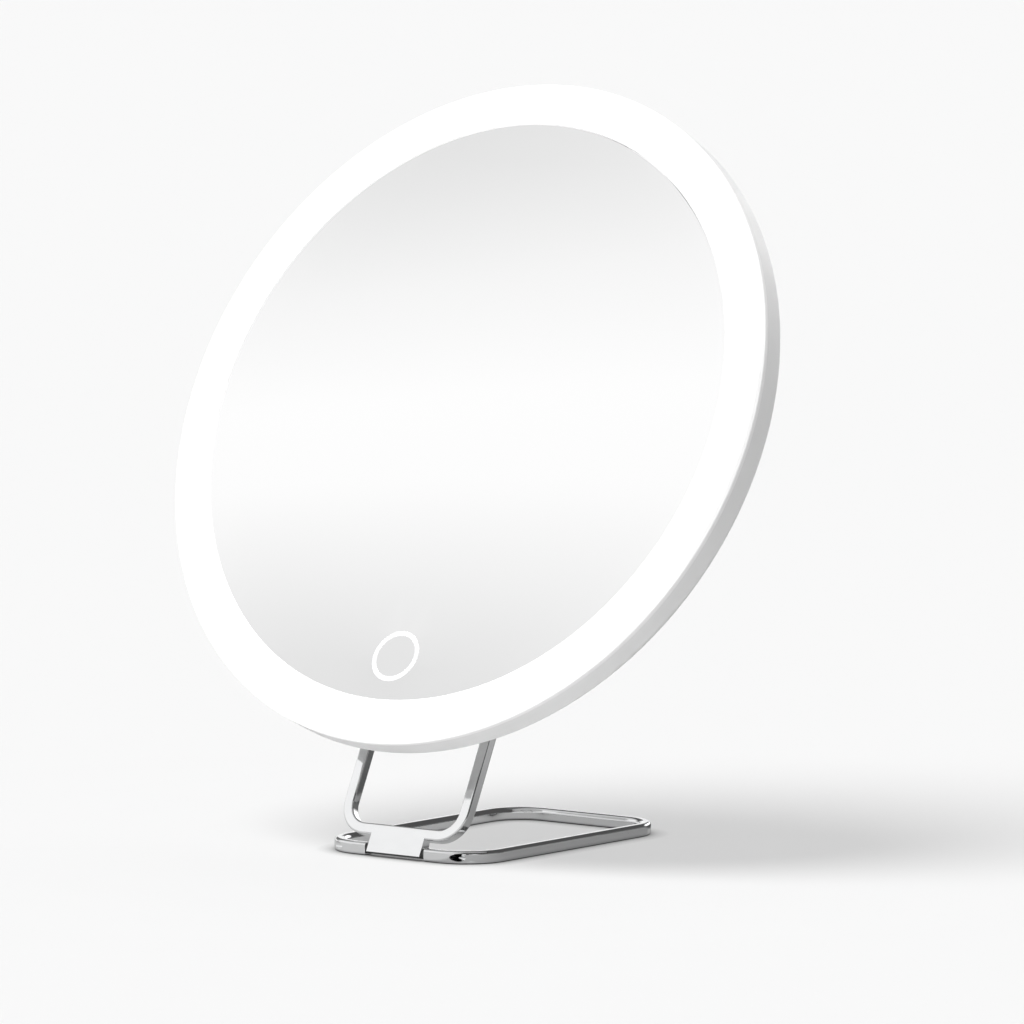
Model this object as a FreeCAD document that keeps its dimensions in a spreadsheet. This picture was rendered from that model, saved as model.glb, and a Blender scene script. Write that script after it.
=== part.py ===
import FreeCAD, Part
import math
import os
import Sketcher

# Lighted magnifying mirror: a slim round head on a folding stand of two bar loops.
# World frame: millimetres, Z up, X along both hinges, the mirror faces -Y.
# The origin is the middle of the base's footprint, on the table.

Vector = FreeCAD.Vector
doc = FreeCAD.newDocument("lighted_mirror")
sheet = doc.addObject("Spreadsheet::Sheet", "Sizes")


class Dim:
    """A length, angle or number: its value now, and the formula that ties it to the sheet."""

    def __init__(self, value, text):
        self.value = value
        self.text = text

    def __add__(self, other):
        other = as_dim(other)
        return Dim(self.value + other.value, "(%s + %s)" % (self.text, other.text))

    def __sub__(self, other):
        other = as_dim(other)
        return Dim(self.value - other.value, "(%s - %s)" % (self.text, other.text))

    def __mul__(self, other):
        other = as_dim(other)
        return Dim(self.value * other.value, "(%s * %s)" % (self.text, other.text))

    def __truediv__(self, other):
        other = as_dim(other)
        return Dim(self.value / other.value, "(%s / %s)" % (self.text, other.text))

    def __neg__(self):
        return Dim(-self.value, "(0 - %s)" % self.text)


def as_dim(thing):
    if isinstance(thing, Dim):
        return thing
    return Dim(float(thing), repr(thing))


def sine(angle):
    return Dim(math.sin(math.radians(angle.value)), "sin(%s * 1 deg)" % angle.text)


def cosine(angle):
    return Dim(math.cos(math.radians(angle.value)), "cos(%s * 1 deg)" % angle.text)


def root(number):
    return Dim(math.sqrt(number.value), "sqrt(%s)" % number.text)


def arcsine(number):
    return Dim(math.degrees(math.asin(number.value)), "(asin(%s) / 1 deg)" % number.text)


def half(dim):
    return dim / 2


def size(name, value, note):
    """One row of the sheet: what it is, its number under an alias, and a note."""
    size.row += 1
    cell = "B%d" % size.row
    sheet.set("A%d" % size.row, name)
    sheet.set(cell, str(value))
    sheet.setAlias(cell, name)
    sheet.set("C%d" % size.row, note)
    return Dim(float(value), "Sizes." + name)


size.row = 0

# Stand: the base loop on the table and the arm loop that leans back from its front bar.
lean_angle = size("lean_angle", 25.6, "how far the arm and the mirror lean back, degrees")
base_width = size("base_width", 50, "base loop, outside, along the hinge")
base_length = size("base_length", 79.6, "base loop, outside, front to back")
base_bar = size("base_bar", 3, "width of the base's bar")
base_height = size("base_height", 3.1, "height of the base's bar")
base_corner = size("base_corner", 11.8, "outer corner radius of the base loop")
base_edge = size("base_edge", 0.8, "rounding of the base's upper edges, outside")
base_inner_edge = size("base_inner_edge", 1.2, "rounding of the base's upper edges, inside the loop")
foot_edge = size("foot_edge", 0.45, "rounding of the base's edges on the table")
arm_width = size("arm_width", 39, "arm loop, outside, along the hinge")
arm_bar = size("arm_bar", 2.85, "width of the arm's bar")
arm_thickness = size("arm_thickness", 2.8, "thickness of the arm's bar")
arm_corner = size("arm_corner", 8, "outer corner radius of the arm loop")
arm_foot = size("arm_foot", 3.19, "from the base hinge up to the arm loop's lower edge")
arm_face = size("arm_face", 1.75, "from the base hinge out to the arm's front face")
arm_reach = size("arm_reach", 71.59, "between the two hinges, along the arm")
arm_top = size("arm_top", 1.4, "from the head hinge up to the arm loop's upper edge")
stand_edge = size("stand_edge", 0.45, "rounding of the arm's edges")

# Base hinge: a tab of the arm between two knuckles of the base.
pin_diameter = size("pin_diameter", 1.8, "both hinge pins")
pin_clearance = size("pin_clearance", 0.04, "gap round each pin")
pin_recess = size("pin_recess", 5, "how deep the base pin's ends lie in their hole")
tab_width = size("tab_width", 16.6, "tab at the arm's foot")
tab_drop = size("tab_drop", 1.31, "how far the tab's face reaches below the hinge")
tab_lip = size("tab_lip", 0.9, "thickness of the tab's lower lip")
tab_barrel = size("tab_barrel", 1.25, "radius of the tab round the pin")
tab_root = size("tab_root", 1, "how far the tab runs into the arm's lower bar")
spacer_thickness = size("spacer_thickness", 0.8, "friction washers beside the tab")
washer_thickness = size("washer_thickness", 0.3, "friction washers at the head hinge")
washer_play = size("washer_play", 0.05, "gap on each side of a washer")
washer_rim = size("washer_rim", 0.35, "width of a washer round its pin")

# Head hinge: a leaf screwed to the cover, between two knuckles of the arm.
knuckle_radius = size("knuckle_radius", 1.7, "barrels round the head hinge's pin")
knuckle_length = size("knuckle_length", 4, "each of the arm's two barrels")
knuckle_lift = size("knuckle_lift", 0.1, "head hinge in front of the arm's face")
leaf_width = size("leaf_width", 17, "leaf's barrel along the hinge")
leaf_neck = size("leaf_neck", 2.8, "thickness of the leaf's neck")
flange_width = size("flange_width", 36, "leaf's plate, along the hinge")
flange_height = size("flange_height", 12, "leaf's plate, up and down")
flange_thickness = size("flange_thickness", 1.6, "leaf's plate")
flange_corner = size("flange_corner", 2, "corner radius of the leaf's plate")
flange_play = size("flange_play", 0.15, "gap round the plate in its recess")
hinge_drop_share = size("hinge_drop_share", 0.4137, "head hinge below the middle, of the head's radius")
hinge_standoff = size("hinge_standoff", 5.56, "head hinge behind the pod")
leaf_screw_pitch = size("leaf_screw_pitch", 27, "between the leaf's screws")
leaf_screw_diameter = size("leaf_screw_diameter", 2.4, "leaf screw's shank")
leaf_screw_head = size("leaf_screw_head", 4.4, "leaf screw's head, across")
leaf_screw_head_height = size("leaf_screw_head_height", 1, "leaf screw's head, deep")
leaf_screw_length = size("leaf_screw_length", 3.6, "leaf screw's shank, long")

# Head: rim, rear pod, diffuser ring and glass.
head_diameter = size("head_diameter", 175, "whole head")
ring_width = size("ring_width", 11.1, "lit ring, from its outer edge to the glass")
rim_depth = size("rim_depth", 9.5, "front of the ring to the back of the rim")
rim_round = size("rim_round", 2.4, "rounding of the rim's back edge")
pod_depth = size("pod_depth", 15.8, "front of the ring to the back of the pod")
pod_inset = size("pod_inset", 13.7, "pod's foot inside the glass's edge")
pod_draft = size("pod_draft", 2, "how much the pod narrows towards the back")
pod_round = size("pod_round", 2.4, "rounding of the pod's back edge")
cover_wall = size("cover_wall", 1.8, "rear cover")
diffuser_thickness = size("diffuser_thickness", 2.2, "diffuser ring")
diffuser_round = size("diffuser_round", 0.8, "rounding of the diffuser's front edge")
diffuser_lip = size("diffuser_lip", 1.1, "locating lip behind the diffuser, wide")
diffuser_lip_depth = size("diffuser_lip_depth", 1.2, "locating lip behind the diffuser, deep")
glass_dish = size("glass_dish", 4.88, "depth of the concave face")
glass_thickness = size("glass_thickness", 2, "mirror glass")
glass_recess = size("glass_recess", 0.2, "glass's edge behind the front of the ring")
glass_gap = size("glass_gap", 0.2, "between the glass's edge and the ring")
fit_gap = size("fit_gap", 0.15, "gap between fixed pieces that slip together")

# Mirror carrier and the screws that close the head.
tape_thickness = size("tape_thickness", 0.3, "adhesive under the glass")
tape_width = size("tape_width", 2.2, "adhesive ring, wide")
carrier_ledge = size("carrier_ledge", 2.7, "ledge under the glass, wide")
carrier_floor = size("carrier_floor", 1.4, "ledge under the glass, thick")
carrier_wall = size("carrier_wall", 1.4, "wall between the glass and the lights")
carrier_lap = size("carrier_lap", 0.6, "from the ring's inner edge out to the carrier's wall")
cover_screw_count = 6
cover_screw_inset = size("cover_screw_inset", 4.1, "cover screws inside the glass's edge")
cover_screw_diameter = size("cover_screw_diameter", 2, "cover screw's shank")
cover_screw_length = size("cover_screw_length", 3.6, "cover screw's shank, long")
cover_screw_head = size("cover_screw_head", 3.6, "cover screw's head, across")
cover_screw_head_height = size("cover_screw_head_height", 1.3, "cover screw's head, deep")
cover_screw_sink = size("cover_screw_sink", 1.6, "depth of the recess for a cover screw")
boss_diameter = size("boss_diameter", 5.4, "bosses for the cover screws")
boss_rise = size("boss_rise", 1.4, "cover's boss above its floor")
screw_gap = size("screw_gap", 0.1, "gap round a screw's shank and head")
recess_width = size("recess_width", 0.5, "slot of a cross recess, wide")
recess_length_share = size("recess_length_share", 0.55, "cross recess across a screw's head")
recess_depth_share = size("recess_depth_share", 0.55, "cross recess into a screw's head")

# Light channel: a ring board on the cover's floor, with chips that face the diffuser.
board_gap = size("board_gap", 0.5, "gap on each side of the ring board")
light_board_thickness = size("light_board_thickness", 0.8, "ring board")
chip_count = 36
chip_length = size("chip_length", 3.5, "light chip, along the ring")
chip_width = size("chip_width", 2.8, "light chip, across the ring")
chip_height = size("chip_height", 0.7, "light chip")

# Touch ring low on the glass.
touch_inset = size("touch_inset", 11.8, "touch ring's middle above the glass's lower edge")
touch_diameter = size("touch_diameter", 13.6, "touch ring, outside")
touch_line = size("touch_line", 1.2, "width of the touch ring's line")
touch_depth = size("touch_depth", 0.4, "depth of the touch ring in the glass")
touch_fit = size("touch_fit", 0.02, "gap round the touch ring")
guide_overlap = size("guide_overlap", 0.4, "light guide wider than the line, each side")
guide_height = size("guide_height", 1.1, "light guide behind the glass")
touch_board_diameter = size("touch_board_diameter", 15.8, "touch board")
touch_board_thickness = size("touch_board_thickness", 0.8, "touch board")
touch_chip_count = 4
touch_chip_size = size("touch_chip_size", 1.6, "small light chips on the touch board")
touch_chip_height = size("touch_chip_height", 0.6, "small light chips on the touch board")
touch_chip_orbit = size("touch_chip_orbit", 3, "small light chips from the ring's middle")

# Control board, socket and battery in the pod.
board_inset = size("board_inset", 6.7, "control board's left edge inside the pod's foot")
board_width = size("board_width", 36, "control board, left to right")
board_height = size("board_height", 28, "control board, up and down")
board_thickness = size("board_thickness", 1, "control board")
board_lift = size("board_lift", 4, "control board above the pod's floor")
post_diameter = size("post_diameter", 4.4, "posts under the control board")
post_inset = size("post_inset", 3, "posts from the control board's corners")
post_screw_diameter = size("post_screw_diameter", 1.6, "control board's screws")
post_screw_length = size("post_screw_length", 3, "control board's screws, below the board")
post_screw_head = size("post_screw_head", 3, "control board's screws, head across")
post_screw_head_height = size("post_screw_head_height", 0.9, "control board's screws, head")
socket_width = size("socket_width", 9, "charging socket's shell")
socket_height = size("socket_height", 3.2, "charging socket's shell")
socket_length = size("socket_length", 7.3, "charging socket's shell")
socket_wall = size("socket_wall", 0.3, "charging socket's shell")
socket_overhang = size("socket_overhang", 4.6, "socket's mouth beyond the board's edge")
socket_gap = size("socket_gap", 0.3, "gap round the socket in the cover")
tongue_width = size("tongue_width", 6.6, "tongue in the socket")
tongue_height = size("tongue_height", 0.7, "tongue in the socket")
tongue_set = size("tongue_set", 0.8, "tongue's end behind the socket's mouth")
controller_size = size("controller_size", 5, "larger chip on the control board")
controller_height = size("controller_height", 0.9, "larger chip on the control board")
charger_size = size("charger_size", 4, "smaller chip on the control board")
charger_height = size("charger_height", 0.8, "smaller chip on the control board")
coil_size = size("coil_size", 4.5, "coil on the control board")
coil_height = size("coil_height", 1.6, "coil on the control board")
plug_width = size("plug_width", 6, "battery plug on the control board")
plug_length = size("plug_length", 5, "battery plug on the control board")
plug_height = size("plug_height", 1.6, "battery plug on the control board")
battery_reach_share = size("battery_reach_share", 0.606, "battery's right edge, of the pod's radius")
battery_height = size("battery_height", 34, "battery, up and down")
battery_depth = size("battery_depth", 4, "battery")
battery_corner = size("battery_corner", 2, "battery's corner radius")
battery_gap = size("battery_gap", 10, "from the control board to the battery")
battery_tape = size("battery_tape", 0.4, "tape under the battery")
battery_tape_inset = size("battery_tape_inset", 4, "tape inside the battery's edge")
lead_diameter = size("lead_diameter", 1, "leads")
lead_pitch = size("lead_pitch", 1.6, "between the two wires of a lead")
lead_notch_width = size("lead_notch_width", 5, "notch for the light leads in the carrier")
lead_height = size("lead_height", 7.2, "light leads above the middle")
touch_lead_share = size("touch_lead_share", 0.28, "touch leads' end, across the control board")
shell_round_share = size("shell_round_share", 0.8, "corner of the socket's shell")
overrun = size("overrun", 1, "how far a cut runs past what it cuts")
doc.recompute()

NOUGHT = Dim(0.0, "0")
problems = []


class Frame:
    """A place in the world: a point in the plane of symmetry and a lean about X."""

    def __init__(self, along_y, along_z, tilt):
        self.along_y = along_y
        self.along_z = along_z
        self.tilt = tilt


def place(thing, frame):
    """Put a finished sub-part, made in its own frame, in the world."""
    spin = FreeCAD.Rotation(Vector(1, 0, 0), frame.tilt.value)
    at = Vector(0, frame.along_y.value, frame.along_z.value)
    thing.Placement = FreeCAD.Placement(at, spin)
    thing.setExpression("Placement.Base.y", frame.along_y.text)
    thing.setExpression("Placement.Base.z", frame.along_z.text)
    thing.setExpression("Placement.Rotation.Angle", frame.tilt.text + " * 1 deg")


def bind(thing, **dims):
    for name, dim in dims.items():
        setattr(thing, name, dim.value)
        thing.setExpression(name, dim.text)


def settle(thing, at):
    """Set where a primitive's own origin lies, each coordinate tied to the sheet."""
    for axis, dim in zip("xyz", at):
        if dim is not NOUGHT:
            thing.setExpression("Placement.Base." + axis, dim.text)


# Sketches: closed loops whose corners all hang on the sheet.


def new_body(name):
    body = doc.addObject("PartDesign::Body", name)
    body.Label = name
    return body


def new_sketch(body, name, role, lift=None):
    sketch = body.newObject("Sketcher::SketchObject", name)
    for feature in body.Origin.OriginFeatures:
        if feature.Role == role:
            sketch.AttachmentSupport = (feature, [""])
    sketch.MapMode = "FlatFace"
    if lift is not None:
        sketch.AttachmentOffset = FreeCAD.Placement(Vector(0, 0, lift.value), FreeCAD.Rotation())
        sketch.setExpression("AttachmentOffset.Base.z", lift.text)
    return sketch


def pin_point(sketch, edge, end, point):
    """Tie one end of an edge to its two coordinates."""
    for kind, axis, dim in (("DistanceX", -2, point[0]), ("DistanceY", -1, point[1])):
        if dim is NOUGHT:
            sketch.addConstraint(Sketcher.Constraint("PointOnObject", edge, end, axis))
        else:
            number = sketch.addConstraint(Sketcher.Constraint(kind, -1, 1, edge, end, dim.value))
            sketch.setExpression("Constraints[%d]" % number, dim.text)


def draw_loop(sketch, points, arcs=None):
    """Join the points in a ring; arcs gives an edge's radius and its centre."""
    arcs = arcs or {}
    first = sketch.GeometryCount
    count = len(points)
    flat = [Vector(p[0].value, p[1].value, 0) for p in points]
    starts = []
    for i in range(count):
        a = flat[i]
        b = flat[(i + 1) % count]
        if i in arcs:
            radius, centre = arcs[i]
            middle = Vector(centre[0].value, centre[1].value, 0)
            from_angle = math.atan2(a.y - middle.y, a.x - middle.x)
            to_angle = math.atan2(b.y - middle.y, b.x - middle.x)
            forward = (a - middle).cross(b - middle).z > 0
            if not forward:
                from_angle, to_angle = to_angle, from_angle
            ring = Part.Circle(middle, Vector(0, 0, 1), radius.value)
            sketch.addGeometry(Part.ArcOfCircle(ring, from_angle, to_angle), False)
            starts.append((1, 2) if forward else (2, 1))
        else:
            sketch.addGeometry(Part.LineSegment(a, b), False)
            starts.append((1, 2))
    for i in range(count):
        j = (i + 1) % count
        meet = Sketcher.Constraint("Coincident", first + i, starts[i][1], first + j, starts[j][0])
        sketch.addConstraint(meet)
    for i in range(count):
        pin_point(sketch, first + i, starts[i][0], points[i])
    for i, (radius, centre) in arcs.items():
        number = sketch.addConstraint(Sketcher.Constraint("Radius", first + i, radius.value))
        sketch.setExpression("Constraints[%d]" % number, radius.text)


def draw_rectangle(sketch, left, right, low, high):
    draw_loop(sketch, [(left, low), (right, low), (right, high), (left, high)])


def draw_round_rectangle(sketch, left, right, low, high, radius):
    points = [
        (left + radius, low),
        (right - radius, low),
        (right, low + radius),
        (right, high - radius),
        (right - radius, high),
        (left + radius, high),
        (left, high - radius),
        (left, low + radius),
    ]
    arcs = {
        1: (radius, (right - radius, low + radius)),
        3: (radius, (right - radius, high - radius)),
        5: (radius, (left + radius, high - radius)),
        7: (radius, (left + radius, low + radius)),
    }
    draw_loop(sketch, points, arcs)


def draw_circle(sketch, centre, radius):
    edge = sketch.GeometryCount
    middle = Vector(centre[0].value, centre[1].value, 0)
    sketch.addGeometry(Part.Circle(middle, Vector(0, 0, 1), radius.value), False)
    pin_point(sketch, edge, 3, centre)
    number = sketch.addConstraint(Sketcher.Constraint("Radius", edge, radius.value))
    sketch.setExpression("Constraints[%d]" % number, radius.text)


# Features.


def add_pad(body, sketch, length, both_ways=False):
    feature = body.newObject("PartDesign::Pad", sketch.Name + "_pad")
    feature.Profile = sketch
    feature.SideType = "Symmetric" if both_ways else "One side"
    bind(feature, Length=length)
    doc.recompute()
    return feature


def add_pocket(body, sketch, length, both_ways=False):
    """Cut away along the sketch's back, or both ways; a cut that removes nothing is a fault."""
    before = body.Shape.Volume
    feature = body.newObject("PartDesign::Pocket", sketch.Name + "_pocket")
    feature.Profile = sketch
    feature.SideType = "Symmetric" if both_ways else "One side"
    bind(feature, Length=length)
    doc.recompute()
    if body.Shape.Volume >= before:
        problems.append("%s cuts nothing" % feature.Name)
    return feature


def add_turn(body, sketch):
    feature = body.newObject("PartDesign::Revolution", sketch.Name + "_turn")
    feature.Profile = sketch
    feature.ReferenceAxis = (sketch, ["V_Axis"])
    feature.Angle = 360
    doc.recompute()
    return feature


def add_fillet(body, base, test, radius):
    names = []
    for number, edge in enumerate(base.Shape.Edges):
        if test(edge):
            names.append("Edge%d" % (number + 1))
    if not names:
        problems.append("no edges to round on %s" % base.Name)
    feature = body.newObject("PartDesign::Fillet", base.Name + "_fillet")
    feature.Base = (base, names)
    bind(feature, Radius=radius)
    doc.recompute()
    return feature


def add_ring(body, feature, count, name):
    """Repeat a feature round the body's own Z axis."""
    pattern = body.newObject("PartDesign::PolarPattern", name)
    pattern.Originals = [feature]
    for axis in body.Origin.OriginFeatures:
        if axis.Role == "Z_Axis":
            pattern.Axis = (axis, [""])
    pattern.Angle = 360
    pattern.Occurrences = count
    body.Tip = pattern
    doc.recompute()
    return pattern


def flat_at(edge, level):
    """True for an edge that lies wholly in the plane at this height."""
    box = edge.BoundBox
    return abs(box.ZMin - level) < 1e-4 and abs(box.ZMax - level) < 1e-4


def outside_loop(edge, width, length):
    """True for an edge that reaches out of a rectangle round the origin."""
    box = edge.BoundBox
    across = max(abs(box.XMin), abs(box.XMax))
    along = max(abs(box.YMin), abs(box.YMax))
    return across > half(width).value or along > half(length).value


def ring_at(edge, radius, level):
    """True for a circle round Z of this radius at this height."""
    curve = edge.Curve
    if not isinstance(curve, Part.Circle):
        return False
    if abs(curve.Radius - radius) > 1e-4:
        return False
    return abs(curve.Center.z - level) < 1e-4


# Primitives.


def block(name, spans, at):
    thing = doc.addObject("Part::Box", name)
    bind(thing, Length=spans[0], Width=spans[1], Height=spans[2])
    settle(thing, at)
    return thing


def rod(name, radius, length, at):
    """A cylinder that starts at the point and runs along Z."""
    thing = doc.addObject("Part::Cylinder", name)
    bind(thing, Radius=radius, Height=length)
    settle(thing, at)
    return thing


def cross_rod(name, radius, length, at):
    """A cylinder centred on the point, along X."""
    thing = doc.addObject("Part::Cylinder", name)
    bind(thing, Radius=radius, Height=length)
    thing.Placement = FreeCAD.Placement(Vector(), FreeCAD.Rotation(Vector(0, 1, 0), 90))
    settle(thing, (at[0] - half(length), at[1], at[2]))
    return thing


def cut(name, base, tool):
    thing = doc.addObject("Part::Cut", name)
    thing.Base = base
    thing.Tool = tool
    return thing


def fuse(name, pieces):
    thing = doc.addObject("Part::MultiFuse", name)
    thing.Shapes = pieces
    return thing


def group(name, pieces):
    thing = doc.addObject("Part::Compound", name)
    thing.Links = pieces
    return thing


nodes = []


def finish_node(thing, name, frame):
    """Name a finished piece and put it in its place."""
    thing.Label = name
    place(thing, frame)
    nodes.append(thing)


# Frames of the three moving bodies.
axis_y = half(base_bar) - half(base_length)
axis_z = half(base_height)
face_tilt = as_dim(90) - lean_angle
WORLD = Frame(NOUGHT, NOUGHT, NOUGHT)
ARM = Frame(axis_y, axis_z, face_tilt)

head_axis_ahead = arm_face + knuckle_lift
head_radius = half(head_diameter)
hinge_drop = head_radius * hinge_drop_share
middle_along = arm_reach + hinge_drop
middle_ahead = head_axis_ahead + hinge_standoff + pod_depth
HEAD = Frame(
    axis_y + middle_along * sine(lean_angle) - middle_ahead * cosine(lean_angle),
    axis_z + middle_along * cosine(lean_angle) + middle_ahead * sine(lean_angle),
    face_tilt,
)

pin_radius = half(pin_diameter)
bore_radius = pin_radius + pin_clearance
tab_gap = spacer_thickness + washer_play * 2
side_gap = washer_thickness + washer_play * 2

# Base frame: a flat loop of bar, open at the middle of its front for the arm's tab.
base_frame = new_body("base_frame")
sketch = new_sketch(base_frame, "base_outline", "XY_Plane")
draw_round_rectangle(
    sketch,
    -half(base_width),
    half(base_width),
    -half(base_length),
    half(base_length),
    base_corner,
)
draw_round_rectangle(
    sketch,
    base_bar - half(base_width),
    half(base_width) - base_bar,
    base_bar - half(base_length),
    half(base_length) - base_bar,
    base_corner - base_bar,
)
loop = add_pad(base_frame, sketch, base_height)
top = base_height.value
middle = (base_width - base_bar, base_length - base_bar)
loop = add_fillet(base_frame, loop, lambda e: flat_at(e, top) and outside_loop(e, *middle), base_edge)
loop = add_fillet(
    base_frame, loop, lambda e: flat_at(e, top) and not outside_loop(e, *middle), base_inner_edge
)
add_fillet(base_frame, loop, lambda e: flat_at(e, 0), foot_edge)
sketch = new_sketch(base_frame, "base_gap", "XY_Plane")
gap_half = half(tab_width) + tab_gap
draw_rectangle(
    sketch,
    -gap_half,
    gap_half,
    -half(base_length) - overrun,
    base_bar + overrun - half(base_length),
)
add_pocket(base_frame, sketch, (base_height + overrun) * 2, True)
sketch = new_sketch(base_frame, "base_bore", "YZ_Plane")
draw_circle(sketch, (axis_y, axis_z), bore_radius)
add_pocket(base_frame, sketch, base_width + overrun, True)
finish_node(base_frame, "base_frame", WORLD)

# The base pin's hole comes out through the rounded corner, where the bar bends away.
corner_mid = half(base_width) - base_corner
corner_rise = base_corner - half(base_bar)
mouth = corner_mid + root(base_corner * base_corner - corner_rise * corner_rise)
base_pin_length = (mouth - pin_recess) * 2
base_pin = cross_rod("base_hinge_pin", pin_radius, base_pin_length, (NOUGHT, NOUGHT, NOUGHT))


def place_pin(thing, length, frame, along, ahead):
    """Lay a pin along X at a point of a leaning frame."""
    thing.setExpression("Placement.Base.x", (-half(length)).text)
    reach_y = frame.along_y + along * sine(lean_angle) - ahead * cosine(lean_angle)
    reach_z = frame.along_z + along * cosine(lean_angle) + ahead * sine(lean_angle)
    thing.setExpression("Placement.Base.y", reach_y.text)
    thing.setExpression("Placement.Base.z", reach_z.text)


place_pin(base_pin, base_pin_length, ARM, NOUGHT, NOUGHT)
base_pin.Label = "base_hinge_pin"
nodes.append(base_pin)


def make_washers(name, thickness, middle_width, centre, frame):
    """Two thin rings on a pin, one on each side of a middle barrel."""
    rings = []
    for side, sign in (("right", 1), ("left", -1)):
        at_x = (half(middle_width) + washer_play + half(thickness)) * sign
        at = (at_x, centre[0], centre[1])
        disc = cross_rod("%s_%s_disc" % (name, side), bore_radius + washer_rim, thickness, at)
        hole = cross_rod("%s_%s_hole" % (name, side), bore_radius, thickness * 3, at)
        rings.append(cut("%s_%s" % (name, side), disc, hole))
    washers = group(name, rings)
    finish_node(washers, name, frame)


make_washers("base_hinge_washers", spacer_thickness, tab_width, (NOUGHT, NOUGHT), ARM)

# Arm frame, in its own frame: X along the hinge, Y up the arm, Z out of its front face.
arm_frame = new_body("arm_frame")
arm_back = arm_face - arm_thickness
arm_high = arm_reach + arm_top
sketch = new_sketch(arm_frame, "arm_outline", "XY_Plane", arm_back)
draw_round_rectangle(
    sketch, -half(arm_width), half(arm_width), arm_foot, arm_high, arm_corner
)
draw_round_rectangle(
    sketch,
    arm_bar - half(arm_width),
    half(arm_width) - arm_bar,
    arm_foot + arm_bar,
    arm_high - arm_bar,
    arm_corner - arm_bar,
)
loop = add_pad(arm_frame, sketch, arm_thickness)
low = arm_back.value
high = arm_face.value
add_fillet(arm_frame, loop, lambda e: flat_at(e, low) or flat_at(e, high), stand_edge)

# Tab at the foot: flat face flush with the arm's front, round behind the pin.
sketch = new_sketch(arm_frame, "arm_tab", "YZ_Plane")
tab_high = arm_foot + tab_root
draw_loop(
    sketch,
    [
        (-tab_drop, arm_face),
        (-tab_drop, arm_face - tab_lip),
        (-tab_barrel, NOUGHT),
        (NOUGHT, -tab_barrel),
        (tab_high, arm_back + stand_edge),
        (tab_high, arm_face),
    ],
    {2: (tab_barrel, (NOUGHT, NOUGHT))},
)
add_pad(arm_frame, sketch, tab_width, True)
sketch = new_sketch(arm_frame, "arm_tab_bore", "YZ_Plane")
draw_circle(sketch, (NOUGHT, NOUGHT), bore_radius)
add_pocket(arm_frame, sketch, tab_width + overrun, True)

# Two barrels at the top, one on each side of the gap for the leaf.
sketch = new_sketch(arm_frame, "arm_barrels", "YZ_Plane")
draw_circle(sketch, (arm_reach, head_axis_ahead), knuckle_radius)
barrel_gap = leaf_width + side_gap * 2
add_pad(arm_frame, sketch, barrel_gap + knuckle_length * 2, True)
sketch = new_sketch(arm_frame, "arm_gap", "XY_Plane", arm_back)
draw_rectangle(
    sketch,
    -half(barrel_gap),
    half(barrel_gap),
    arm_reach - knuckle_radius - overrun,
    arm_high + overrun,
)
add_pocket(arm_frame, sketch, (arm_thickness + knuckle_radius + overrun) * 2, True)
sketch = new_sketch(arm_frame, "arm_top_bore", "YZ_Plane")
draw_circle(sketch, (arm_reach, head_axis_ahead), bore_radius)
add_pocket(arm_frame, sketch, arm_width + overrun, True)
finish_node(arm_frame, "arm_frame", ARM)

head_pin_length = barrel_gap + knuckle_length * 2
head_pin = cross_rod("head_hinge_pin", pin_radius, head_pin_length, (NOUGHT, NOUGHT, NOUGHT))
place_pin(head_pin, head_pin_length, ARM, arm_reach, head_axis_ahead)
head_pin.Label = "head_hinge_pin"
nodes.append(head_pin)
make_washers("head_hinge_washers", washer_thickness, leaf_width, (arm_reach, head_axis_ahead), ARM)

# Head, in its own frame: Z out of the mirror, Y up the mirror, Z zero at the ring's front face.
ring_inner = head_radius - ring_width + glass_gap
glass_radius = head_radius - ring_width
rim_inner = head_radius - cover_wall
rim_floor = rim_depth - cover_wall
pod_foot = glass_radius - pod_inset
pod_back = pod_foot - pod_draft
pod_floor = pod_depth - cover_wall
hinge_y = -hinge_drop
hinge_z = -(pod_depth + hinge_standoff)

# Hinge leaf: barrel on the pin, neck, and a plate let into the pod's back.
leaf = new_body("head_hinge_leaf")
plate_low = -pod_depth
plate_high = flange_thickness - pod_depth
sketch = new_sketch(leaf, "leaf_plate", "XY_Plane", plate_low)
draw_round_rectangle(
    sketch,
    -half(flange_width),
    half(flange_width),
    hinge_y - half(flange_height),
    hinge_y + half(flange_height),
    flange_corner,
)
add_pad(leaf, sketch, flange_thickness)
sketch = new_sketch(leaf, "leaf_neck", "YZ_Plane")
neck_high = half(flange_thickness) - pod_depth
draw_rectangle(
    sketch, hinge_y - half(leaf_neck), hinge_y + half(leaf_neck), hinge_z, neck_high
)
add_pad(leaf, sketch, leaf_width, True)
sketch = new_sketch(leaf, "leaf_barrel", "YZ_Plane")
draw_circle(sketch, (hinge_y, hinge_z), knuckle_radius)
add_pad(leaf, sketch, leaf_width, True)
sketch = new_sketch(leaf, "leaf_bore", "YZ_Plane")
draw_circle(sketch, (hinge_y, hinge_z), bore_radius)
add_pocket(leaf, sketch, leaf_width + overrun, True)
for side, sign in (("right", 1), ("left", -1)):
    at = (half(leaf_screw_pitch) * sign, hinge_y)
    sketch = new_sketch(leaf, "leaf_hole_" + side, "XY_Plane", plate_high)
    draw_circle(sketch, at, half(leaf_screw_diameter) + screw_gap)
    add_pocket(leaf, sketch, flange_thickness + overrun)
    sketch = new_sketch(leaf, "leaf_sink_" + side, "XY_Plane", leaf_screw_head_height - pod_depth)
    draw_circle(sketch, at, half(leaf_screw_head) + screw_gap)
    add_pocket(leaf, sketch, leaf_screw_head_height + overrun)
finish_node(leaf, "head_hinge_leaf", HEAD)


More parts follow.
